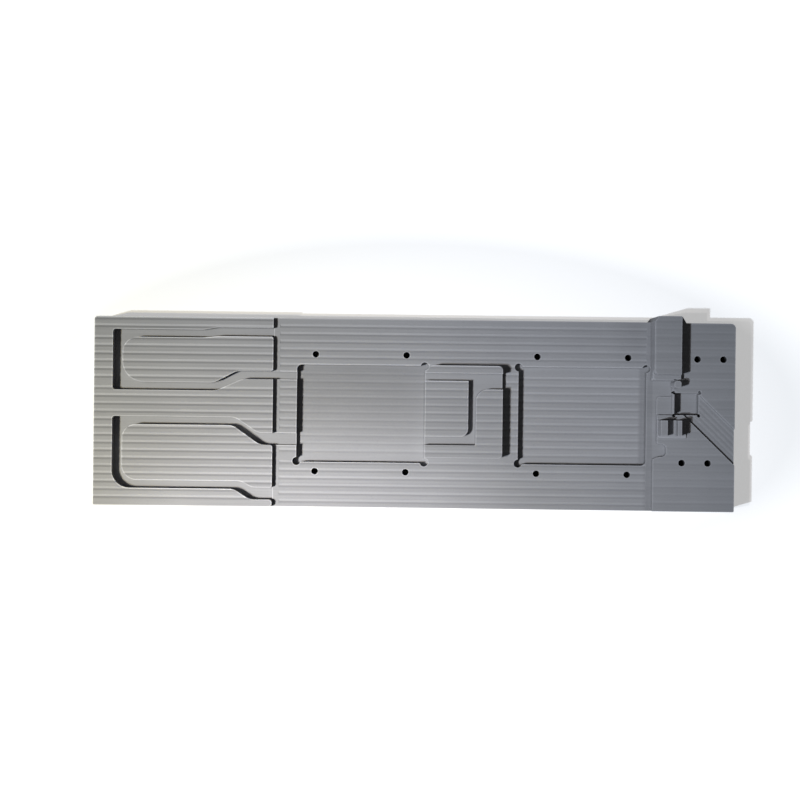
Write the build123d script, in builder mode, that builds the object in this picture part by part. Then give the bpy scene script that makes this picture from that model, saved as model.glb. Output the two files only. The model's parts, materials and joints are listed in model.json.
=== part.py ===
# Graphite brazing mold: one long plate, milled from a single block.
# The left end holds two bent tube channels, the middle is lowered and carries two large pockets
# with a stepped core between them, and the right end has a rib, small posts, a deep square pocket
# and a slanted channel. Drilled holes take the pins that hold the mold halves in line.
# Millimetres, +X along the plate, +Z up, origin on the bottom face at the middle of the plate.
from build123d import *

import os
from math import cos, radians, sin

# Lengths along X, from the left end to the right end
left_land_length = 111.65
run_in = 14.75                  # left step to the first pocket
pocket_length = 80.1
core_length = 48.3              # stepped core, from the first pocket's wall
core_gap = 10.3                 # core to the second pocket
pocket_margin = 3.9             # second pocket to the right step
right_land_length = 50.9

# Widths across Y, from the far long side to the near one
far_margin = 8.0
upper_loop_width = 37.8
land_between = 16.6
lower_loop_width = 44.7
near_margin = 10.9

# Levels, measured down from the land or up from it
plate_thickness = 20.0          # bottom face to the land
recess_depth = 3.0              # lowered middle
channel_drop = 2.0              # tube channels, below the lowered middle
pocket_drop = 4.7               # large pockets, below the lowered middle
core_rise = 7.0                 # above the lowered middle
groove_depth = 4.0              # groove round the inner block of the core
rib_rise = 9.0
pin_rise = 8.4
ledge_rise = 3.3
web_rise = 3.1
plinth_rise = 1.0
landing_depth = 2.2
square_depth = 6.8
slant_depth = 1.8

# Outline
far_right_radius = 3.0
far_left_radius = 2.0
near_radius = 0.8
right_setback = 0.4             # the long side steps back a little, right of the tab
tab_reach = 3.3
tab_length = 21.3
tab_slope_left = 2.4
tab_slope_right = 2.2

# Tube channels
loop_inset = 11.6               # left end of the plate to the channels
channel_width = 4.9
left_channel_width = 6.0
far_mouth_width = 5.4           # where the upper loop runs out along the far side
wide_channel_width = 7.4        # where the lower loop runs out
loop_corner_radius = 1.7
loop_bend_radius = 11.0
mouth_radius = 1.5
finger_round = 0.45             # round ends of the two fingers of land, as a share of their width
bend_radius = 10.0

# Bends of the channel walls, each as the distances of its two corners from the left step
far_bend = (43.6, 34.5)
far_bend_travel = 1.5
inner_bend_outside = (35.4, 19.3)
inner_bend_inside = (36.8, 22.7)
inner_bend_travel = 7.4
slope_bend_outside = (23.4, 9.3)
slope_bend_inside = (24.9, 7.8)
slope_bend_travel = 9.6
near_bend_outside = (23.8, 14.1)
near_bend_inside = (18.8, 13.2)
near_bend_travel = 6.4

# Islands of land inside the loops
upper_island_far_radius = 9.5
upper_island_near_radius = 13.0
lower_island_near_radius = 9.5
lower_island_far_radius = 9.0

# Large pockets
pocket_width = 61.0
pocket_shift = -0.3             # middle of the pockets, off the middle of the plate
pocket_corner_radius = 3.0
relief_radius = 2.5             # drilled reliefs in the pocket corners
relief_inset_x = 0.1            # relief centres, from the pocket's walls towards its middle
relief_inset_y = 0.4

# Stepped core, its Y places from the middle of the plate
core_far = 30.4
core_near = -27.1
core_left_radius = 6.0
core_far_radius = 3.0
core_near_radius = 2.5
block_length = 27.0
block_far = 20.9
block_near = -13.9
block_radius = 5.0
groove_width = 4.7
groove_near_width = 5.2
groove_radius = 1.0
outlet_far = 25.5
outlet_near = 15.8
outlet_radius = 7.5

# Right end, its X places from the right step
foot_inset = 2.4                # where the land starts between the two notches
notch_far = 22.7
upper_notch_length = 11.9
notch_near = -25.3
lower_notch_width = 8.3
lower_notch_length = 8.2
notch_radius = 2.6
notch_slope = 0.9
step_slope = 1.2                # short slanted piece between the step and the lower notch
foot_radius = 2.0
rib_overhang = 1.2              # the rib starts a little before the step
rib_length = 16.75
rib_near = 26.3
rib_radius = 3.0
ledge_extra = 0.8
ledge_radius = 2.5
ledge_setback = 0.8             # beside the pin block
pin_length = 4.3
pin_width = 4.3
pin_gap = 0.3                   # far edge of the notch to the pin block
pin_radius = 1.6
landing_length = 9.5
landing_far = 12.6
landing_near = 1.0
post_start = 3.1
post_far = -2.1
post_width = 9.7
left_post_length = 4.2
post_gap = 6.4                  # closed by a low web
right_post_length = 2.4
plinth_start = 2.4
plinth_length = 18.0
plinth_width = 11.2
plinth_radius = 2.5
plinth_slope_height = 0.7
plinth_slope_width = 1.6
square_start = 13.1
square_near = 1.15
square_length = 15.5
square_width = 13.85
square_relief_radius = 1.1
square_relief_shift = 0.25
slant_width = 16.2
slant_angle = 44.0              # down from the X axis
slant_shift = 1.7               # centre line of the channel, off the middle of the square pocket

# Pin holes
pin_hole_radius = 2.0
pocket_hole_spacing = 56.8
pocket_hole_margin = 6.1        # pocket edge to the hole centres
end_hole_spacing = 16.2
far_holes_start = 27.2          # right step to the first hole
far_holes_y = 36.1
near_holes_start = 18.0
near_holes_y = -28.7

# Shallow furrows that the cutter leaves between two passes. They lie in sets, each given by the
# distance of its first furrow from the near side of what it lies in.
pass_pitch = 4.85
furrow_half_width = 1.3
land_furrow_depth = 0.2
middle_furrow_depth = 0.15
pocket_furrow_depth = 0.1
right_furrow_depth = 0.06       # on the right land and the rib
smooth_band = 4.0               # the cutter also ran once along each step
land_sets = (5.45, 80.45, 112.05)
middle_sets = (3.6, 35.45)
first_pocket_set = 6.85
second_pocket_set = 5.25
right_sets = (5.4, 77.05)
right_pitch = 4.93
core_set = 3.35
rib_set = 3.6
slant_set = 3.7
slant_pitch = 2.8
slant_half_width = 1.1

# Helpers
cut_over = 2.0                  # how far a cut runs past what it cuts
bite = 1.0                      # how far a raised part is rooted in what carries it

# Places worked out from the sizes above
plate_length = (
    left_land_length + run_in + 2 * pocket_length + core_length + core_gap
    + pocket_margin + right_land_length
)
plate_width = far_margin + upper_loop_width + land_between + lower_loop_width + near_margin
right_end = plate_length / 2
left_end = -right_end
far_side = plate_width / 2
near_side = -far_side
left_step = left_end + left_land_length
first_pocket_left = left_step + run_in
core_left = first_pocket_left + pocket_length
core_right = core_left + core_length
second_pocket_left = core_right + core_gap
right_step = right_end - right_land_length
foot_left = right_step + foot_inset
rib_left = right_step - rib_overhang
rib_right = rib_left + rib_length
square_left = right_step + square_start

land_z = plate_thickness
middle_z = land_z - recess_depth
channel_z = middle_z - channel_drop
pocket_z = middle_z - pocket_drop
core_z = middle_z + core_rise
groove_z = core_z - groove_depth
rib_z = land_z + rib_rise

upper_loop_far = far_side - far_margin
upper_loop_near = upper_loop_far - upper_loop_width
lower_loop_far = upper_loop_near - land_between
lower_loop_near = lower_loop_far - lower_loop_width
loop_left = left_end + loop_inset
island_left = loop_left + left_channel_width

os.makedirs("parts", exist_ok=True)


def region(x0, x1, y0, y1):
    """Rectangle given by its four sides."""
    with BuildSketch() as drawn:
        with Locations(((x0 + x1) / 2, (y0 + y1) / 2)):
            Rectangle(x1 - x0, y1 - y0)
    return drawn.sketch


def outline(points, radii):
    """Closed outline with one radius for each corner."""
    with BuildSketch() as drawn:
        with BuildLine():
            FilletPolyline(*points, radius=radii, close=True)
        make_face()
    return drawn.sketch


def loop_channel(outside, outside_radii, inside, inside_radii):
    """Channel between the outer wall of a loop and the island of land inside it."""
    with BuildSketch() as drawn:
        add(outline(outside, outside_radii))
        add(outline(inside, inside_radii), mode=Mode.SUBTRACT)
    return drawn.sketch


def bent_wall(corners, y, travel, end_x):
    """Points of a wall that runs along X, bends sideways by travel and runs on to end_x."""
    first, second = corners
    return [(left_step - first, y), (left_step - second, y + travel), (end_x, y + travel)]


def furrows(near, sets, far, z, depth, pitch=pass_pitch, half_width=furrow_half_width):
    """V profiles at the height z, in sets from near to far; a set ends a pitch before the next."""
    starts = [near + distance for distance in sets]
    ends = [start - pitch for start in starts[1:]] + [far]
    with BuildSketch() as drawn:
        for start, end in zip(starts, ends):
            for i in range(int((end - start) / pitch) + 1):
                y = start + i * pitch
                with BuildLine():
                    Polyline(
                        (y - 1.1 * half_width, z + 0.1 * depth),
                        (y, z - depth),
                        (y + 1.1 * half_width, z + 0.1 * depth),
                        close=True,
                    )
                make_face()
    return drawn.sketch


# Outline of the whole plate, with the tab on its far side
tab_left = rib_left
tab_right = tab_left + tab_length
plate_outline = outline(
    [
        (left_end, near_side),
        (right_end, near_side),
        (right_end, far_side - right_setback),
        (tab_right, far_side - right_setback),
        (tab_right - tab_slope_right, far_side + tab_reach),
        (tab_left + tab_slope_left, far_side + tab_reach),
        (tab_left, far_side),
        (left_end, far_side),
    ],
    [near_radius, near_radius, far_right_radius, 0, 0, 0, 0, far_left_radius],
)

# Upper tube channel: out along the far side, back out through the middle of the step
upper_channel = loop_channel(
    [(loop_left, upper_loop_near), (loop_left, upper_loop_far)]
    + bent_wall(far_bend, upper_loop_far, far_bend_travel, left_step)
    + bent_wall(inner_bend_outside, upper_loop_near, inner_bend_travel, left_step)[::-1],
    [loop_corner_radius, loop_corner_radius, bend_radius, bend_radius, 0]
    + [0, bend_radius, bend_radius],
    [
        (island_left, upper_loop_near + channel_width),
        (island_left, upper_loop_far - channel_width),
    ]
    + bent_wall(
        far_bend,
        upper_loop_far - channel_width,
        far_bend_travel + channel_width - far_mouth_width,
        left_step + cut_over,
    )
    + bent_wall(
        inner_bend_inside,
        upper_loop_near + channel_width,
        inner_bend_travel,
        left_step + cut_over,
    )[::-1],
    [upper_island_near_radius, upper_island_far_radius, bend_radius, bend_radius, 0]
    + [0, bend_radius, bend_radius],
)

# Lower tube channel, with wider ends
lower_island_far = lower_loop_far - channel_width
lower_island_near = lower_loop_near + channel_width
lower_mouth_far = lower_loop_far - slope_bend_travel
lower_mouth_near = lower_loop_near - near_bend_travel
lower_channel = loop_channel(
    [(loop_left, lower_loop_near), (loop_left, lower_loop_far)]
    + bent_wall(slope_bend_outside, lower_loop_far, -slope_bend_travel, left_step)
    + bent_wall(near_bend_outside, lower_loop_near, -near_bend_travel, left_step)[::-1],
    [loop_bend_radius, loop_corner_radius, bend_radius, bend_radius, 0]
    + [0, bend_radius, bend_radius],
    [
        (island_left, lower_island_near),
        (island_left, lower_island_far),
        (left_step - slope_bend_inside[0], lower_island_far),
        (left_step - slope_bend_inside[1], lower_mouth_far - wide_channel_width),
        (left_step + cut_over, lower_mouth_far - wide_channel_width),
        (left_step + cut_over, lower_mouth_near + wide_channel_width),
        (left_step - near_bend_inside[1], lower_mouth_near + wide_channel_width),
        (left_step - near_bend_inside[0], lower_island_near),
    ],
    [lower_island_near_radius, lower_island_far_radius, bend_radius, bend_radius, 0]
    + [0, bend_radius, bend_radius],
)

# Right land, with a notch at each side of the posts for the tube ends
upper_notch_end = right_step + upper_notch_length
lower_notch_end = right_step + lower_notch_length
right_region = outline(
    [
        (right_step, near_side - cut_over),
        (right_end + cut_over, near_side - cut_over),
        (right_end + cut_over, far_side + tab_reach + cut_over),
        (rib_left, far_side + tab_reach + cut_over),
        (rib_left, notch_far),
        (upper_notch_end, notch_far),
        (upper_notch_end, landing_far),
        (foot_left, landing_far),
        (foot_left, notch_near + lower_notch_width),
        (lower_notch_end, notch_near + lower_notch_width),
        (lower_notch_end, notch_near + notch_slope),
        (foot_left, notch_near),
        (right_step, notch_near - step_slope),
    ],
    [0, 0, 0, 0, 0, 0, 0, foot_radius, foot_radius, notch_radius, notch_radius, 0, 0],
)

# Stepped core: a raised block, a groove round its inner block, and the outlet of the groove
block_right = core_left + block_length
groove_right = block_right + groove_width
groove_near = block_near - groove_near_width
core_outline = outline(
    [
        (core_left, core_near),
        (core_right, core_near),
        (core_right, core_far),
        (core_left, core_far),
    ],
    [0, core_near_radius, core_far_radius, core_left_radius],
)
core_groove = loop_channel(
    [
        (core_left - cut_over, groove_near),
        (groove_right, groove_near),
        (groove_right, outlet_near),
        (core_right + cut_over, outlet_near),
        (core_right + cut_over, outlet_far),
        (core_left - cut_over, outlet_far),
    ],
    [0, groove_radius, outlet_radius, 0, 0, 0],
    [
        (core_left - 2 * cut_over, block_near),
        (block_right, block_near),
        (block_right, block_far),
        (core_left - 2 * cut_over, block_far),
    ],
    [0, block_radius, 0, 0],
)


def large_pocket(middle_x, plain_corner):
    """Pocket with a drilled relief in three corners and a plain round in the fourth."""
    half_length, half_width = pocket_length / 2, pocket_width / 2
    with BuildSketch() as drawn:
        with Locations((middle_x, pocket_shift)):
            Rectangle(pocket_length, pocket_width)
        plain_x = middle_x + plain_corner[0] * half_length
        plain_y = pocket_shift + plain_corner[1] * half_width
        fillet(drawn.vertices().sort_by_distance((plain_x, plain_y))[0], pocket_corner_radius)
        for side in ((-1, -1), (-1, 1), (1, -1), (1, 1)):
            if side != plain_corner:
                relief_x = middle_x + side[0] * (half_length - relief_inset_x)
                relief_y = pocket_shift + side[1] * (half_width - relief_inset_y)
                with Locations((relief_x, relief_y)):
                    Circle(relief_radius)
    return drawn.sketch


first_pocket_middle = first_pocket_left + pocket_length / 2
second_pocket_middle = second_pocket_left + pocket_length / 2
square_middle = (square_left + square_length / 2, square_near + square_width / 2)
slant_start = (
    square_middle[0] + slant_shift * sin(radians(slant_angle)),
    square_middle[1] + slant_shift * cos(radians(slant_angle)),
)

# Plinth under the posts: its near edge slopes down towards the land, its near left corner is round
plinth_left = right_step + plinth_start
plinth_right = plinth_left + plinth_length
plinth_near = post_far - plinth_width
plinth_z = land_z + plinth_rise
with BuildPart() as plinth:
    with BuildSketch(Plane.YZ.offset(plinth_left)):
        with BuildLine():
            Polyline(
                (plinth_near, land_z - bite),
                (plinth_near, plinth_z - plinth_slope_height),
                (plinth_near + plinth_slope_width, plinth_z),
                (post_far, plinth_z),
                (post_far, land_z - bite),
                close=True,
            )
        make_face()
    extrude(amount=plinth_length)
    with BuildSketch(Plane.XY.offset(land_z - bite)):
        add(
            outline(
                [
                    (plinth_left, plinth_near),
                    (plinth_right, plinth_near),
                    (plinth_right, post_far),
                    (plinth_left, post_far),
                ],
                [plinth_radius, 0, 0, 0],
            )
        )
    extrude(amount=bite + plinth_rise, mode=Mode.INTERSECT)

with BuildPart() as mold_plate:
    # Slab up to the lowered middle, and the furrows of its top
    add(plate_outline)
    extrude(amount=middle_z)
    with BuildSketch(Plane.YZ.offset(left_step + smooth_band)):
        last = far_side - furrow_half_width
        add(furrows(near_side, middle_sets, last, middle_z, middle_furrow_depth))
    extrude(amount=right_step - left_step - 2 * smooth_band, mode=Mode.SUBTRACT)

    # Left land, with the mouths of the channels rounded where they meet the step
    with BuildSketch(Plane.XY.offset(middle_z - bite)) as left_land:
        add(plate_outline)
        add(region(left_end, left_step, near_side, far_side), mode=Mode.INTERSECT)
        add(upper_channel, mode=Mode.SUBTRACT)
        add(lower_channel, mode=Mode.SUBTRACT)
        step_corners = left_land.vertices().filter_by_position(
            Axis.X, left_step - 0.01, left_step + 0.01
        )
        step_corners = step_corners.sort_by(Axis.Y)
        fillet(step_corners[:2], finger_round * (near_margin - near_bend_travel))
        fillet(step_corners[-2:], finger_round * (far_margin - far_bend_travel))
        fillet(step_corners[2:-2], mouth_radius)
    extrude(amount=bite + recess_depth)
    with BuildSketch(Plane.YZ.offset(left_end)):
        add(furrows(near_side, land_sets, far_side, land_z, land_furrow_depth))
    extrude(amount=left_land_length, mode=Mode.SUBTRACT)

    # Right land
    with BuildSketch(Plane.XY.offset(middle_z - bite)):
        add(plate_outline)
        add(right_region, mode=Mode.INTERSECT)
    extrude(amount=bite + recess_depth)
    with BuildSketch(Plane.YZ.offset(right_step)):
        add(furrows(near_side, right_sets, far_side, land_z, right_furrow_depth, right_pitch))
    extrude(amount=right_land_length, mode=Mode.SUBTRACT)

    # Core, its furrows, and the groove round its inner block
    with BuildSketch(Plane.XY.offset(middle_z - bite)):
        add(core_outline)
    extrude(amount=bite + core_rise)
    with BuildSketch(Plane.YZ.offset(core_left)):
        add(furrows(core_near, [core_set], core_far, core_z, middle_furrow_depth))
    extrude(amount=core_length, mode=Mode.SUBTRACT)
    with BuildSketch(Plane.XY.offset(groove_z)):
        add(core_groove)
    extrude(amount=core_z - groove_z, mode=Mode.SUBTRACT)

    # Tube channels; the inner two run on over the lowered middle into the first pocket
    with BuildSketch(Plane.XY.offset(channel_z)):
        add(upper_channel)
        add(lower_channel)
        upper_mouth = upper_loop_near + inner_bend_travel
        for mouth_near, mouth_far in (
            (upper_mouth, upper_mouth + channel_width),
            (lower_mouth_far - wide_channel_width, lower_mouth_far),
        ):
            add(region(left_step - bite, first_pocket_left + bite, mouth_near, mouth_far))
    extrude(amount=land_z - channel_z, mode=Mode.SUBTRACT)

    # Large pockets, and the furrows of their floors
    with BuildSketch(Plane.XY.offset(pocket_z)):
        add(large_pocket(first_pocket_middle, (-1, 1)))
        add(large_pocket(second_pocket_middle, (1, -1)))
    extrude(amount=core_z - pocket_z, mode=Mode.SUBTRACT)
    pocket_near = pocket_shift - pocket_width / 2
    pocket_far = pocket_shift + pocket_width / 2
    for left, distance in (
        (first_pocket_left, first_pocket_set),
        (second_pocket_left, second_pocket_set),
    ):
        with BuildSketch(Plane.YZ.offset(left)):
            last = pocket_far - pass_pitch
            add(furrows(pocket_near, [distance], last, pocket_z, pocket_furrow_depth))
        extrude(amount=pocket_length, mode=Mode.SUBTRACT)

    # Landing for the tube end, and the square pocket with its drilled corners
    with BuildSketch(Plane.XY.offset(land_z)):
        landing_right = foot_left + landing_length
        add(region(foot_left - cut_over, landing_right, landing_near, landing_far + cut_over))
    extrude(amount=-landing_depth, mode=Mode.SUBTRACT)
    with BuildSketch(Plane.XY.offset(land_z)):
        with Locations(square_middle):
            Rectangle(square_length, square_width)
            with GridLocations(
                square_length + 2 * square_relief_shift,
                square_width + 2 * square_relief_shift,
                2,
                2,
            ):
                Circle(square_relief_radius)
    extrude(amount=-square_depth, mode=Mode.SUBTRACT)

    # Slanted channel, from the square pocket out through the right end
    with BuildSketch(Plane.XY.offset(land_z)):
        with Locations(slant_start):
            Rectangle(
                2 * right_land_length,
                slant_width,
                rotation=-slant_angle,
                align=(Align.MIN, Align.CENTER),
            )
    extrude(amount=-slant_depth, mode=Mode.SUBTRACT)
    slant_along = (cos(radians(slant_angle)), -sin(radians(slant_angle)), 0)
    slant_across = (sin(radians(slant_angle)), cos(radians(slant_angle)), 0)
    slant_floor = (slant_start[0], slant_start[1], land_z - slant_depth)
    with BuildSketch(Plane(slant_floor, x_dir=slant_across, z_dir=slant_along)):
        add(
            furrows(
                -slant_width / 2,
                [slant_set],
                slant_width / 2,
                0,
                right_furrow_depth,
                slant_pitch,
                slant_half_width,
            )
        )
    extrude(amount=2 * right_land_length, mode=Mode.SUBTRACT)

    # Rib over the tab, the ledge at its foot, and the small pin block beside the ledge
    with BuildSketch(Plane.XY.offset(middle_z - bite)):
        add(plate_outline)
        rib_far = far_side + tab_reach + cut_over
        add(
            outline(
                [
                    (rib_left, rib_near),
                    (rib_right, rib_near),
                    (rib_right, rib_far),
                    (rib_left, rib_far),
                ],
                [rib_radius, 0, 0, 0],
            ),
            mode=Mode.INTERSECT,
        )
    extrude(amount=rib_z - middle_z + bite)
    with BuildSketch(Plane.YZ.offset(rib_left)):
        rib_last = far_side + tab_reach - furrow_half_width
        add(furrows(rib_near, [rib_set], rib_last, rib_z, right_furrow_depth, right_pitch))
    extrude(amount=rib_length, mode=Mode.SUBTRACT)
    with BuildSketch(Plane.XY.offset(middle_z - bite)):
        ledge_right = rib_right + ledge_extra
        ledge_far = rib_near + rib_radius
        add(
            outline(
                [
                    (rib_left, notch_far),
                    (upper_notch_end, notch_far),
                    (upper_notch_end, notch_far + ledge_setback),
                    (ledge_right, notch_far + ledge_setback),
                    (ledge_right, rib_near),
                    (rib_right, rib_near),
                    (rib_right, ledge_far),
                    (rib_left, ledge_far),
                ],
                [ledge_radius, 0, 0, 0, 0, 0, 0, 0],
            )
        )
    extrude(amount=land_z + ledge_rise - middle_z + bite)
    with BuildSketch(Plane.XY.offset(middle_z - bite)):
        pin_left = rib_right - pin_length
        pin_far = notch_far - pin_gap
        add(
            outline(
                [
                    (pin_left, pin_far - pin_width),
                    (rib_right, pin_far - pin_width),
                    (rib_right, pin_far),
                    (pin_left, pin_far),
                ],
                [pin_radius] * 4,
            )
        )
    extrude(amount=land_z + pin_rise - middle_z + bite)

    # Plinth, the two posts that stand on it, and the low web that joins them
    add(plinth.part)
    post_left = right_step + post_start
    web_left = post_left + left_post_length
    second_post_left = web_left + post_gap
    with BuildSketch(Plane.XY.offset(middle_z - bite)):
        for left, length in (
            (post_left, left_post_length),
            (second_post_left, right_post_length),
        ):
            add(region(left, left + length, post_far - post_width, post_far))
    extrude(amount=rib_z - middle_z + bite)
    with BuildSketch(Plane.XY.offset(middle_z - bite)):
        web_right = second_post_left + bite
        add(region(web_left - bite, web_right, post_far - post_width, post_far))
    extrude(amount=land_z + web_rise - middle_z + bite)

    # Pin holes, right through the plate
    for middle_x in (first_pocket_middle, second_pocket_middle):
        with Locations((middle_x, 0, middle_z)):
            with GridLocations(
                pocket_hole_spacing, pocket_width + 2 * pocket_hole_margin, 2, 2
            ):
                Hole(pin_hole_radius)
    for start, y in ((far_holes_start, far_holes_y), (near_holes_start, near_holes_y)):
        for i in range(2):
            with Locations((right_step + start + i * end_hole_spacing, y, land_z)):
                Hole(pin_hole_radius)

mold_plate.part.label = "mold_plate"
export_step(mold_plate.part, "parts/mold_plate.step")
box = mold_plate.part.bounding_box()
print("mold_plate", round(mold_plate.part.volume / 1000, 1), "cm3", box.size)
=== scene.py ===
# %% [markdown]
# # A graphite brazing mold, milled from one block
#
# The object is a long flat plate of fine-grained graphite. A cutter has gone over it in side-by-side
# passes and has sunk channels, pockets and holes into it. Nothing is fitted to the plate, so there is
# one piece to finish. What makes it look real is light on shallow relief: the furrows between the
# passes, the dark walls of the channels, and the soft grey sheen of dry-milled graphite.
#
# The plate is loaded first, as a fixed frame that nothing moves. Its box is noted here.

# %% Load the plate
import json
import math

import bpy
import numpy as np
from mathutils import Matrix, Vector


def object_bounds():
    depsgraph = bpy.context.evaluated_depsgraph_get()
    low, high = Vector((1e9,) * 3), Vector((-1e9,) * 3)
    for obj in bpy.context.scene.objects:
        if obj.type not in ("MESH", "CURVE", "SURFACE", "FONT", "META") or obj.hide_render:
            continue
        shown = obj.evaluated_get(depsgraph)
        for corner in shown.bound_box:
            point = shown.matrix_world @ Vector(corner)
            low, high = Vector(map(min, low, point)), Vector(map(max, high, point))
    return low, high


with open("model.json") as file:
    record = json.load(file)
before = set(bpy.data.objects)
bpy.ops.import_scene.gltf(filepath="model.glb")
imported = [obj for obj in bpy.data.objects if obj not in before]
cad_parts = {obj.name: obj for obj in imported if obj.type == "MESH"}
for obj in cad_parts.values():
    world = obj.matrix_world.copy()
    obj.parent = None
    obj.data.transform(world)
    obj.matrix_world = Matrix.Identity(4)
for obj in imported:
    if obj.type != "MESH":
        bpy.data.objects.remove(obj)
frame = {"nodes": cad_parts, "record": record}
plate_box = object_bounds()
plate = frame["nodes"]["mold_plate"]
print("box in metres:", [[round(v, 4) for v in corner] for corner in plate_box])


# %% [markdown]
# ## Three small helpers
#
# Colours are given as sRGB hex values, but shaders work with linear light, so one function turns one
# into the other.
#
# A shader is a tree of nodes. One function empties the tree of a material or a world, so that only
# nodes made here are in it. One more adds a node, sets its properties and its sockets, and links a
# socket where it is given another node. Sockets that are given in a row are filled in order: for a
# Math node the numbers that it works on, and for a Map Range node the value, the two ends of the
# range that it comes from and the two ends of the range that it goes to.

# %% Colour and node helpers
def linear(hex_colour):
    """Linear RGBA of an sRGB hex colour: below 0.04045 a value is divided by 12.92, and above it
    0.055 is added, the sum divided by 1.055 and raised to the power 2.4."""
    channels = np.array([int(hex_colour[i : i + 2], 16) for i in (1, 3, 5)]) / 255
    bent = np.where(channels <= 0.04045, channels / 12.92, ((channels + 0.055) / 1.055) ** 2.4)
    return (*bent.tolist(), 1.0)


def empty_tree(owner):
    """The node tree of a material or a world, with nothing in it."""
    owner.use_nodes = True
    owner.node_tree.nodes.clear()
    return owner.node_tree


def add_node(tree, kind, sockets=(), **properties):
    """A new node of that kind. The sockets are a row of values for the first ones, or values by name.
    A value is a number, a colour, an output socket, or a node, whose first output is then linked."""
    node = tree.nodes.new(kind)
    for name, value in properties.items():
        setattr(node, name, value)
    pairs = sockets.items() if isinstance(sockets, dict) else enumerate(sockets)
    for name, value in pairs:
        if isinstance(value, bpy.types.Node):
            value = value.outputs[0]
        if isinstance(value, bpy.types.NodeSocket):
            tree.links.new(value, node.inputs[name])
        else:
            node.inputs[name].default_value = value
    return node


white = (1.0, 1.0, 1.0, 1.0)
print("middle grey in linear light:", round(linear("#808080")[0], 3))

# %% [markdown]
# ## Milled graphite
#
# The plate is isotropic graphite, milled dry with a carbide cutter and not polished. Graphite throws
# back about a third of the light, neutral grey. It is a semimetal, but a milled face is so rough and
# dusty that it looks dull, with only a faint silky sheen where the light grazes it. So the shader is
# mostly a dull solid, with a small share of rough metal.
#
# The real furrows are in the plate's own form. The material adds what is finer: the tone of
# each pass, the streaks that the cutter's edge leaves along it, the grain of the pressed powder
# with its tiny pores, and the faint smudges of handling. A picture of real graphite could be laid on
# the plate, but it would blur from near and its seams would show. Patterns that are worked out in
# millimetres from the plate's own coordinates have no seams, and each is as wide as on the real plate.

# %% Start the graphite material with millimetre coordinates
mm_per_metre = 1000.0
graphite = bpy.data.materials.new("milled_isotropic_graphite")
tree = empty_tree(graphite)
place = add_node(tree, "ShaderNodeTexCoord")
in_mm = add_node(
    tree,
    "ShaderNodeVectorMath",
    {0: place.outputs["Object"], "Scale": mm_per_metre},
    operation="SCALE",
)
along, across, height = add_node(tree, "ShaderNodeSeparateXYZ", (in_mm,)).outputs
faces_x, faces_y, faces_z = add_node(tree, "ShaderNodeSeparateXYZ", (place.outputs["Normal"],)).outputs
print("pattern coordinates: metres times", mm_per_metre)

# %% [markdown]
# ### Which part of the plate a point is on
#
# Some tones belong to one part only: the right land, the floor of a pocket, the walls up to the
# lowered middle. Each part could have a material of its own, but then the plate's mesh would have to
# be cut up. Instead a comparison gives 1 on one side of a limit and 0 on the other, and two of them
# multiplied give 1 where both hold. The tones of a floor are kept off the plate's outer sides by
# asking that the surface faces up.

# %% Parts of the plate, with limits in millimetres
right_land_start = 149.1
above_pocket_floors = 13.0
above_middle = 17.1
past_first_pocket = 10.0
half_up = 0.5

upward = add_node(tree, "ShaderNodeMath", (faces_z, half_up), operation="GREATER_THAN")
past_step = add_node(tree, "ShaderNodeMath", (along, right_land_start), operation="GREATER_THAN")
in_left_half = add_node(tree, "ShaderNodeMath", (along, past_first_pocket), operation="LESS_THAN")
in_pockets = add_node(tree, "ShaderNodeMath", (height, above_pocket_floors), operation="LESS_THAN")
up_to_middle = add_node(tree, "ShaderNodeMath", (height, above_middle), operation="LESS_THAN")

right_land = add_node(tree, "ShaderNodeMath", (past_step, upward), operation="MULTIPLY")
pocket_floor = add_node(tree, "ShaderNodeMath", (in_pockets, upward), operation="MULTIPLY")
first_floor = add_node(tree, "ShaderNodeMath", (in_left_half, pocket_floor), operation="MULTIPLY")
print("the right land starts at", right_land_start, "mm from the middle")

# %% [markdown]
# ### The tone of each pass
#
# The cutter steps over by 4.85 mm. Each pass comes out a shade lighter or darker than the next,
# because the cutter's edge wears and heats. A wave texture could draw such bands, but all alike.
# Counting the passes across the plate and giving each count a random value makes each its own. The
# first furrow of the left land gives their start.

# %% Bands of tone, one for each pass
pass_width = 4.85
first_furrow = -53.55
count = add_node(
    tree,
    "ShaderNodeMath",
    (across, 1 / pass_width, -first_furrow / pass_width),
    operation="MULTIPLY_ADD",
)
whole = add_node(tree, "ShaderNodeMath", (count,), operation="FLOOR")
band = add_node(tree, "ShaderNodeTexWhiteNoise", {"W": whole}, noise_dimensions="1D")
plate_width = (plate_box[1][1] - plate_box[0][1]) * mm_per_metre
print("passes across the plate:", round(plate_width / pass_width))

# %% [markdown]
# ### Streaks along the passes
#
# The cutter's teeth draw fine lines in the direction of travel. A noise that is squeezed across the
# plate and stretched along it gives streaks that start and fade. The real ones are about 0.2 mm
# apart, which is too fine to show, so they are drawn 0.9 mm apart.

# %% Streaks
streak_gap = 0.9
streak_run = 45.0
streak_depth = 5.0
squeezed = add_node(
    tree,
    "ShaderNodeMapping",
    {"Vector": in_mm, "Scale": (1 / streak_run, 1 / streak_gap, 1 / streak_depth)},
)
streaks = add_node(
    tree,
    "ShaderNodeTexNoise",
    {"Vector": squeezed, "Scale": 1.0, "Detail": 3.0, "Roughness": 0.6},
)
print("streak spacing in mm:", streak_gap)

# %% [markdown]
# ### Grain and pores
#
# Isotropic graphite is pressed from powder of about 0.02 mm and baked, so a close look shows fine
# specks and pinholes. They are drawn larger here, so that they show from a step away: the specks at
# 0.8 mm, and a pinhole every 2.6 mm. The distance to the nearest of many scattered points, cut off
# close to the point, gives the pinholes.

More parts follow.
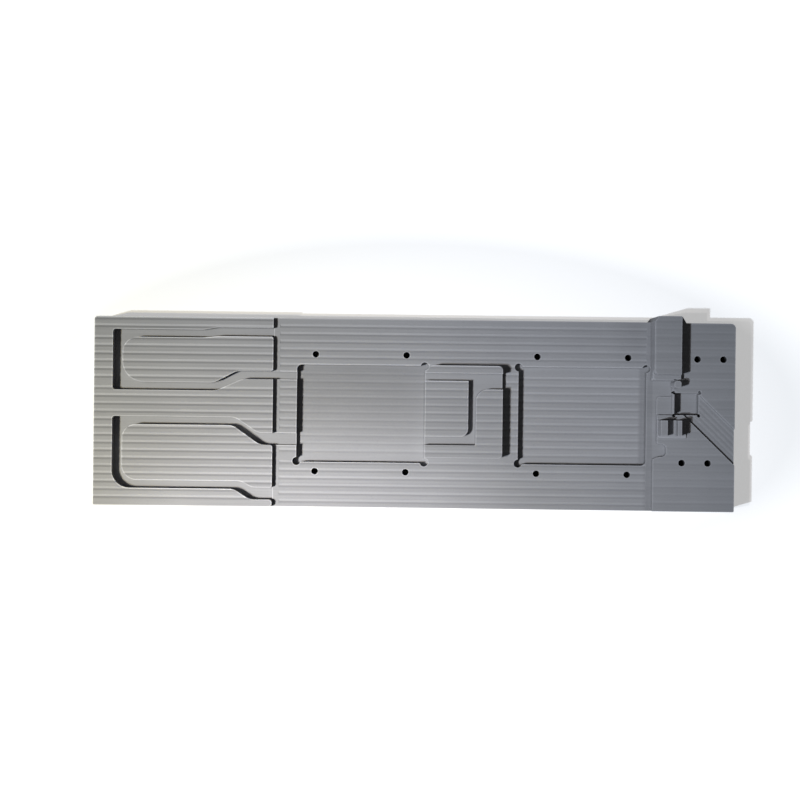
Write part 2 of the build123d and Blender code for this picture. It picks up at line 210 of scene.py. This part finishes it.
# %% Grain and pores
grain_size = 0.8
pore_gap = 2.6
pore_core, pore_rim = 0.05, 0.16
grain = add_node(
    tree,
    "ShaderNodeTexNoise",
    {"Vector": in_mm, "Scale": 1 / grain_size, "Detail": 4.0, "Roughness": 0.7},
)
pores = add_node(
    tree,
    "ShaderNodeTexVoronoi",
    {"Vector": in_mm, "Scale": 1 / pore_gap, "Randomness": 1.0},
)
pinholes = add_node(
    tree, "ShaderNodeMapRange", (pores.outputs["Distance"], pore_core, pore_rim, 0.0, 1.0)
)
print("grain in mm:", grain_size, "pinholes of", round(2 * pore_rim * pore_gap, 2), "mm")

# %% [markdown]
# ### Smudges
#
# Graphite marks whatever touches it, and rubbed places turn a little lighter. Each smudge could be
# drawn by hand, but their places don't matter, so broad, soft clouds of noise a few centimetres wide
# stand for them.

# %% Smudges
smudge_size = 38.0
smudges = add_node(
    tree,
    "ShaderNodeTexNoise",
    {"Vector": in_mm, "Scale": 1 / smudge_size, "Detail": 3.0, "Roughness": 0.55},
)
print("smudges in mm:", smudge_size)

# %% [markdown]
# ### Painted light and shade on the furrows
#
# Between two passes lies a small sharp valley. The side of it that faces the front of the plate,
# towards the light, is painted lighter, and the other side is painted darker: a painted highlight and
# painted shade on top of the light that the real furrows catch. The surface's own normal tells the two
# sides apart, wherever the furrow is. Both are strongest on the left land and fade to the right. The
# shallow furrows of the pocket floors have their share too, but not where a last pass runs along the
# right wall of the second pocket.

# %% How strong the two sides of a furrow are
fade_start, fade_end = -70.0, 110.0
floor_fade_start, floor_fade_end = 0.0, 70.0
full_share, least_share = 1.0, 0.55
last_pass_start, last_pass_full = 140.6, 142.6

on_lands = add_node(tree, "ShaderNodeMapRange", (along, fade_start, fade_end, full_share, least_share))
in_floors = add_node(
    tree, "ShaderNodeMapRange", (along, floor_fade_start, floor_fade_end, least_share, full_share)
)
share = add_node(tree, "ShaderNodeMapRange", (pocket_floor, 0.0, 1.0, on_lands, in_floors))
beside_wall = add_node(
    tree, "ShaderNodeMapRange", (along, last_pass_start, last_pass_full, 0.0, 1.0)
)
last_pass = add_node(tree, "ShaderNodeMath", (beside_wall, pocket_floor), operation="MULTIPLY")
share = add_node(tree, "ShaderNodeMapRange", (last_pass, 0.0, 1.0, share, 0.0))
print("share of the furrow tones:", full_share, "on the left,", least_share, "on the right")

# %% Light and dark sides of each furrow
steepest = 0.16
painted_highlight, painted_dark = 1.30, 0.82
tilt = add_node(tree, "ShaderNodeMath", (faces_y, share), operation="MULTIPLY")
# Painted highlight on the side of each furrow that faces the light, painted shade on the other side.
furrow_highlight = add_node(tree, "ShaderNodeMapRange", (tilt, -steepest, 0.0, painted_highlight, 1.0))
furrow_shade = add_node(tree, "ShaderNodeMapRange", (tilt, 0.0, steepest, 1.0, painted_dark))
print("burnished side:", painted_highlight, "dusty side:", painted_dark)

# %% [markdown]
# ### Painted light and shade at edges, corners and walls
#
# A fine pale line is painted along every sharp outer edge, beside each dark shadow: a painted
# highlight. The inner corners are painted darker: painted shade. Ambient occlusion finds both, where
# painting them by hand would take hours: rays sent into the graphite leave it soon near an outer edge,
# and rays sent out of it meet a wall near an inner corner. The walls that face left, towards the
# light, are painted darker, the low ones on the right most of all: painted shade.

# %% Edges and corners
edge_reach = 0.0008
corner_reach = 0.0010
rays = 4
edge_open, edge_shut = 0.5, 1.0
corner_shut, corner_open = 0.3, 0.95
palest_left, palest_right = 1.9, 1.35
darkest_corner = 0.6

into = add_node(
    tree,
    "ShaderNodeAmbientOcclusion",
    {"Distance": edge_reach},
    inside=True,
    only_local=True,
    samples=rays,
)
out_of = add_node(
    tree, "ShaderNodeAmbientOcclusion", {"Distance": corner_reach}, only_local=True, samples=rays
)
palest = add_node(
    tree, "ShaderNodeMapRange", (along, fade_start, fade_end, palest_left, palest_right)
)
# Painted highlight along the outer edges.
painted_edge_highlight = add_node(
    tree, "ShaderNodeMapRange", (into.outputs["AO"], edge_open, edge_shut, palest, 1.0)
)
# Painted shade in the inner corners.
painted_corner_shade = add_node(
    tree,
    "ShaderNodeMapRange",
    (out_of.outputs["AO"], corner_shut, corner_open, darkest_corner, 1.0),
)
print("edge reach in mm:", edge_reach * mm_per_metre, "corner reach:", corner_reach * mm_per_metre)

# %% Walls that face left
left_wall_shade, low_wall_shade = 0.75, 0.55
fully_left, half_left = -0.9, -0.5
# Painted shade on the walls that face left, towards the light.
low_wall = add_node(tree, "ShaderNodeMapRange", (along, fade_start, fade_end, left_wall_shade, low_wall_shade))
wall = add_node(tree, "ShaderNodeMapRange", (up_to_middle, 0.0, 1.0, left_wall_shade, low_wall))
painted_wall_shade = add_node(tree, "ShaderNodeMapRange", (faces_x, fully_left, half_left, wall, 1.0))
print("walls that face left:", left_wall_shade, "and low ones on the right:", low_wall_shade)

# %% [markdown]
# ### Painted shade beside the right land, and the first pocket's floor
#
# Shade is painted along the step up to the right land, on the last strip of the lowered middle, and
# wider towards the far side. The floor of the first pocket is paler at its near side and darker at its
# far side. Such broad tones could come from noise, but these have their known places, so each is a
# soft ramp along or across the plate, held to its part of the plate.

# %% The strip beside the right land
strip_start, strip_full = 143.0, 146.0
wide_start, wide_full = 118.0, 138.0
far_start, far_full = 25.0, 45.0
wide_share = 0.8

# Painted shade beside the step up to the right land, and wider towards the far side.
beside_land = add_node(tree, "ShaderNodeMapRange", (along, strip_start, strip_full, 0.0, 1.0))
far_side = add_node(tree, "ShaderNodeMapRange", (across, far_start, far_full, 0.0, wide_share))
towards_rib = add_node(tree, "ShaderNodeMapRange", (along, wide_start, wide_full, 0.0, far_side))
painted_shade = add_node(tree, "ShaderNodeMath", (beside_land, towards_rib), operation="MAXIMUM")
before_step = add_node(tree, "ShaderNodeMapRange", (past_step, 0.0, 1.0, up_to_middle, 0.0))
on_middle = add_node(tree, "ShaderNodeMapRange", (pocket_floor, 0.0, 1.0, before_step, 0.0))
painted_shade = add_node(tree, "ShaderNodeMath", (painted_shade, on_middle), operation="MULTIPLY")
painted_shade_strip = add_node(tree, "ShaderNodeMath", (painted_shade, upward), operation="MULTIPLY")
print("dusty strip in mm:", round(right_land_start - strip_start, 2))

# %% The first pocket's floor
half_floor = 28.0
near_tone, far_tone = 1.10, 0.83
near_to_far = add_node(
    tree, "ShaderNodeMapRange", (across, -half_floor, half_floor, near_tone, far_tone)
)
first_floor_tone = add_node(tree, "ShaderNodeMapRange", (first_floor, 0.0, 1.0, 1.0, near_to_far))
print("first pocket's floor:", near_tone, "at the near side,", far_tone, "at the far side")

# %% [markdown]
# ### Inside the drilled holes
#
# The drilled holes are painted nearly black inside: painted shade, as deep narrow holes hold it. Their
# walls could be picked out face by face, but the plate's record already says where its pin holes are:
# a middle, a spacing along and a spacing across. A point is folded into one corner of such a pattern
# by taking away the middle and the sign, and then one distance tells how far the nearest hole of the
# pattern is.

# %% Distance to the nearest hole
hole_rim = 0.05
flat = (1.0, 1.0, 0.0)
pin_holes = [mount for mount in frame["record"]["mounts"] if mount["kind"] == "bolt_pattern"]
hole_radius = pin_holes[0]["dims"]["hole_r_mm"] + hole_rim
folded = []
for holes in pin_holes:
    dims = holes["dims"]
    middle = (holes["pos_m"][0] * mm_per_metre, holes["pos_m"][1] * mm_per_metre, 0.0)
    half = (dims.get("spacing_x_mm", 0.0) / 2, dims.get("spacing_y_mm", 0.0) / 2, 0.0)
    point = add_node(tree, "ShaderNodeVectorMath", (in_mm, middle), operation="SUBTRACT")
    point = add_node(tree, "ShaderNodeVectorMath", (point,), operation="ABSOLUTE")
    point = add_node(tree, "ShaderNodeVectorMath", (point, half), operation="SUBTRACT")
    point = add_node(tree, "ShaderNodeVectorMath", (point, flat), operation="MULTIPLY")
    gap = add_node(tree, "ShaderNodeVectorMath", (point,), operation="LENGTH")
    folded.append(gap.outputs["Value"])
nearest = folded[0]
for gap in folded[1:]:
    nearest = add_node(tree, "ShaderNodeMath", (nearest, gap), operation="MINIMUM")
# Painted shade inside the holes.
painted_hole_shade = add_node(tree, "ShaderNodeMath", (nearest, hole_radius), operation="LESS_THAN")
print("patterns of holes:", len(folded), "radius in mm:", hole_radius)

# %% [markdown]
# ### Putting the tone together
#
# Each pattern becomes a factor close to 1, and the grey of graphite is multiplied by all of them. Some
# factors are painted light and shade: the two sides of each furrow, the pale edges, the inner corners,
# the walls that face left, the strip beside the right land, the last pass beside the second pocket's
# right wall and the holes. The right land was cut on its own and is a shade darker.

# %% Multiply the factors
factors = [furrow_highlight, furrow_shade, painted_edge_highlight, painted_corner_shade, painted_wall_shade, first_floor_tone]
for pattern, at_none, at_full in (
    (band, 0.965, 1.035),
    (streaks, 0.90, 1.10),
    (grain, 0.90, 1.10),
    (pinholes, 0.90, 1.0),
    (smudges, 0.92, 1.08),
    (right_land, 1.0, 0.93),
    # the last pass beside the second pocket's right wall is painted darker: painted shade
    (last_pass, 1.0, 0.80),
    (painted_shade_strip, 1.0, 0.82),
    (painted_hole_shade, 1.0, 0.12),
):
    factors.append(add_node(tree, "ShaderNodeMapRange", (pattern, 0.0, 1.0, at_none, at_full)))
tone = factors[0]
for factor in factors[1:]:
    tone = add_node(tree, "ShaderNodeMath", (tone, factor), operation="MULTIPLY")
graphite_grey = linear("#9a9b9f")[:3]
colour = add_node(tree, "ShaderNodeVectorMath", {0: graphite_grey, "Scale": tone}, operation="SCALE")
print("factors:", len(factors), "graphite grey, linear:", [round(v, 3) for v in graphite_grey])

# %% [markdown]
# ### Gloss and fine relief
#
# Where the streaks are light the surface is smoother, so the same pattern drives the roughness.
# Bump adds the depth of the streaks and grain, less than a tenth of a millimetre, and a bevel of the
# normal rounds the sharp edges as handling does.

# %% Shader
rough, smooth = 0.64, 0.52
streak_relief, grain_relief = 0.8, 0.5
relief_depth = 0.00008
edge_round = 0.0002
metal_share = 0.15

roughness = add_node(tree, "ShaderNodeMapRange", (streaks, 0.0, 1.0, rough, smooth))
relief = add_node(tree, "ShaderNodeMath", (streaks, streak_relief), operation="MULTIPLY")
relief = add_node(tree, "ShaderNodeMath", (grain, grain_relief, relief), operation="MULTIPLY_ADD")
rounded = add_node(tree, "ShaderNodeBevel", {"Radius": edge_round}, samples=rays)
bump = add_node(
    tree,
    "ShaderNodeBump",
    {"Height": relief, "Strength": 0.5, "Distance": relief_depth, "Normal": rounded},
)
surface = add_node(
    tree,
    "ShaderNodeBsdfPrincipled",
    {"Base Color": colour, "Metallic": metal_share, "Roughness": roughness, "Normal": bump},
)
add_node(tree, "ShaderNodeOutputMaterial", {"Surface": surface})
for slot in plate.material_slots:
    slot.link = "OBJECT"
    slot.material = graphite
print("slots on the plate:", len(plate.material_slots), "nodes in the material:", len(tree.nodes))


# %% [markdown]
# ## The table and the white room
#
# The plate lies on a plain table, painted matt white, which looks even and mirrors nothing. For the
# camera the table is white a hand's breadth away from the plate. Near the plate it is an ordinary
# pale surface, so that it keeps the shadow. Right under the plate it adds no light of its own, so the
# drilled holes show dark.
#
# More light could make the table white, but then the plate would be too bright, and white light from
# the table and the room would turn the shadows in the channels grey. So the white is for the camera
# alone. A Light Path node tells the rays apart, and one function asks it for those that come straight
# from the camera or through something clear.

# %% Table
table_half = 6.0
table_mesh = bpy.data.meshes.new("table")
corners = [(x * table_half, y * table_half, 0.0) for x, y in ((-1, -1), (1, -1), (1, 1), (-1, 1))]
table_mesh.from_pydata(corners, [], [(0, 1, 2, 3)])
table = bpy.data.objects.new("table", table_mesh)
bpy.context.scene.collection.objects.link(table)
print("table in metres:", 2 * table_half)


# %% Which rays see the white
def seen_by_camera(tree):
    """1 for a ray from the camera, straight or through something clear, and 0 for any other."""
    ray = add_node(tree, "ShaderNodeLightPath").outputs
    return add_node(
        tree, "ShaderNodeMath", (ray["Is Camera Ray"], ray["Is Transmission Ray"]), operation="MAXIMUM"
    )


print("rays that see the white: camera, transmission")

# %% The table's paint
oval_half_length, oval_half_width = 0.27, 0.12
oval_start, oval_end = 0.9, 1.3
near_glow = 0.45
under_plate = (0.199, 0.0585)

paint = bpy.data.materials.new("matt_white_table")
tree = empty_tree(paint)
spot = add_node(tree, "ShaderNodeTexCoord").outputs["Object"]
oval = add_node(
    tree,
    "ShaderNodeMapping",
    {"Vector": spot, "Scale": (1 / oval_half_length, 1 / oval_half_width, 0.0)},
)
distance = add_node(tree, "ShaderNodeVectorMath", (oval,), operation="LENGTH").outputs["Value"]
glow = add_node(tree, "ShaderNodeMapRange", (distance, oval_start, oval_end, near_glow, 1.0))

place_on_table = add_node(tree, "ShaderNodeSeparateXYZ", (spot,)).outputs
beside = []
for axis, half in enumerate(under_plate):
    size = add_node(tree, "ShaderNodeMath", (place_on_table[axis],), operation="ABSOLUTE")
    beside.append(add_node(tree, "ShaderNodeMath", (size, half), operation="GREATER_THAN"))
uncovered = add_node(tree, "ShaderNodeMath", beside, operation="MAXIMUM")
glow = add_node(tree, "ShaderNodeMath", (glow, uncovered), operation="MULTIPLY")
glow = add_node(tree, "ShaderNodeMath", (glow, seen_by_camera(tree)), operation="MULTIPLY")

matt = add_node(tree, "ShaderNodeBsdfDiffuse", {"Color": linear("#e6e6e6")})
light = add_node(tree, "ShaderNodeEmission", {"Color": white, "Strength": glow})
both = add_node(tree, "ShaderNodeAddShader", (matt, light))
add_node(tree, "ShaderNodeOutputMaterial", {"Surface": both})
table_mesh.materials.append(paint)
print("the table's own white near the plate:", near_glow)

# %% [markdown]
# ## The room
#
# The room is white for the camera. To the plate it gives only a faint even fill, so that the shadows
# in the channels stay deep.

# %% Room
fill = 0.05
room = bpy.data.worlds.new("room")
bpy.context.scene.world = room
tree = empty_tree(room)
strength = add_node(tree, "ShaderNodeMix", {"Factor": seen_by_camera(tree), "A": fill, "B": 1.0})
sky = add_node(tree, "ShaderNodeBackground", {"Color": white, "Strength": strength})
add_node(tree, "ShaderNodeOutputWorld", {"Surface": sky})
print("fill light:", fill)


# %% [markdown]
# ## Light
#
# Shallow relief needs a low light from one side: light from all round, as from a bright sky, would
# hide the furrows. The light comes from the left and a little from the front, at about 50 degrees
# above the table, so every wall that looks right lies in shadow. An even lamp gives the cool light of
# the whole plate. Three more, a little higher and less from the front, add soft pools: a wide one on
# the middle, a narrow one at the front of the left half, and a warm one whose middle lies beyond the
# left end. They hang far away, so that their shadows fall alike, and they are small, because a large
# one would smear its pool.
#
# A pool's power is worked out from the light that should reach its middle, in the same unit as the
# even lamp: the power spreads over a sphere whose radius is the lamp's distance.

# %% Lamps
def unit(x, y, z):
    """The direction with that slope, as a vector of length 1."""
    return np.array([x, y, z]) / math.hypot(x, y, z)


def hang_lamp(name, kind, colour, centre, direction, distance):
    """A lamp at that distance from the lit centre. Its own +Z axis points along the direction that
    the light comes from: tilted from upright by the arc cosine of z, and turned towards x and y."""
    lamp = bpy.data.lights.new(name, kind)
    lamp.color = linear(colour)[:3]
    piece = bpy.data.objects.new(name, lamp)
    piece.location = np.array(centre) + direction * distance
    x, y, z = direction
    piece.rotation_euler = (math.acos(z), 0.0, math.atan2(x, -y))
    bpy.context.scene.collection.objects.link(piece)
    return lamp


plate_face = 0.020
from_sky = unit(-0.83, -0.25, 1.0)
even_distance = 2.0
even = hang_lamp("even_light", "SUN", "#ebf4ff", (0.0, 0.0, plate_face), from_sky, even_distance)
even.energy = 2.05
even.angle = math.radians(1.5)
print("degrees above the table:", round(math.degrees(math.asin(from_sky[2])), 1))

# %% Pools of light
pool_distance = 8.0
lamp_radius = 0.02
from_left = unit(-0.589, -0.104, 0.801)
for name, level, tint, x, y, reach in (
    ("middle_pool_light", 1.27, "#fff9f7", -0.002, -0.053, 0.213),
    ("front_pool_light", 2.55, "#faf7ff", -0.071, -0.121, 0.135),
    ("warm_pool_light", 2.22, "#ffecaa", -0.400, -0.266, 0.475),
):
    pool = hang_lamp(name, "SPOT", tint, (x, y, plate_face), from_left, pool_distance)
    pool.energy = level * 4 * math.pi * pool_distance**2
    pool.spot_size = 2 * math.atan(reach / pool_distance)
    pool.spot_blend = 1.0
    pool.shadow_soft_size = lamp_radius
    print(name, "power in watts:", round(pool.energy))

# %% [markdown]
# ## Camera
#
# The camera hangs 0.78 m above the plate and looks straight down, a little beside its middle. The
# plate lies turned by less than one degree in its view. The lens follows from the width of the view
# at the plate's face: it is to the sensor as the height is to that width.

# %% Camera
camera_height = 0.784
camera_beside = (-0.00896, 0.00857)
camera_turn = math.radians(0.68)
view_width = 0.499
lens = bpy.data.cameras.new("camera")
lens.sensor_width = 36.0
lens.lens = lens.sensor_width * camera_height / view_width
camera = bpy.data.objects.new("camera", lens)
camera.location = (*camera_beside, plate_face + camera_height)
camera.rotation_euler = (0.0, 0.0, camera_turn)
bpy.context.scene.collection.objects.link(camera)
bpy.context.scene.camera = camera
bpy.context.scene.view_settings.view_transform = "Standard"
print("lens in mm:", round(lens.lens, 2))
